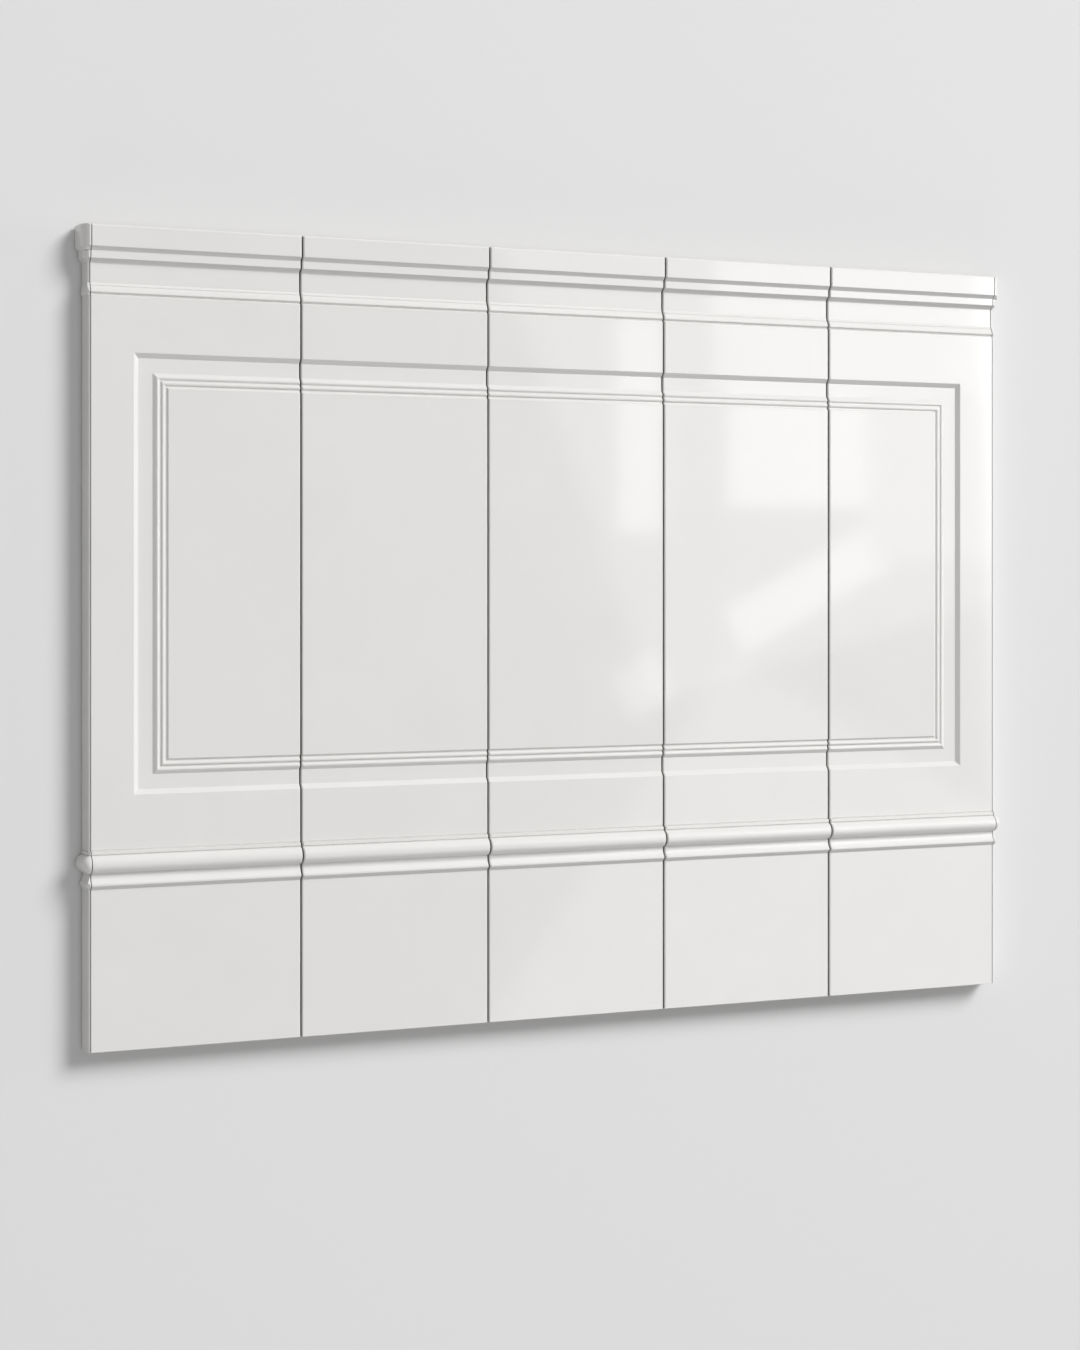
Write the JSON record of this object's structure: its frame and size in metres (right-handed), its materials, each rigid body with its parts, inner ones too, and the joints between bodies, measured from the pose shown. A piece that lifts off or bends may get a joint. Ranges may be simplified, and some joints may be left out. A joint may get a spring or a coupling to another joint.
{
  "type": "wainscot panel",
  "caption": "White gloss wainscot panel of butted full-height boards with a moulded crown, a chair-rail bead, a sunk beaded frame and moulded end returns.",
  "frame": {"origin": "centre of the flat back, which lies on the floor", "axes": "+X along the panel's width to its right end, +Y up the panel as it hangs, +Z out of its moulded face"},
  "size_m": [1.3128, 1, 0.0402],
  "materials": {
    "lacquer": "white high-gloss lacquer on fibreboard"
  },
  "bodies": {
    "root": {"left_return": "lacquer", "left_end_board": "lacquer", "inner_board_left": "lacquer", "inner_board_middle": "lacquer", "inner_board_right": "lacquer", "right_end_board": "lacquer", "right_return": "lacquer"}
  },
  "joints": []
}
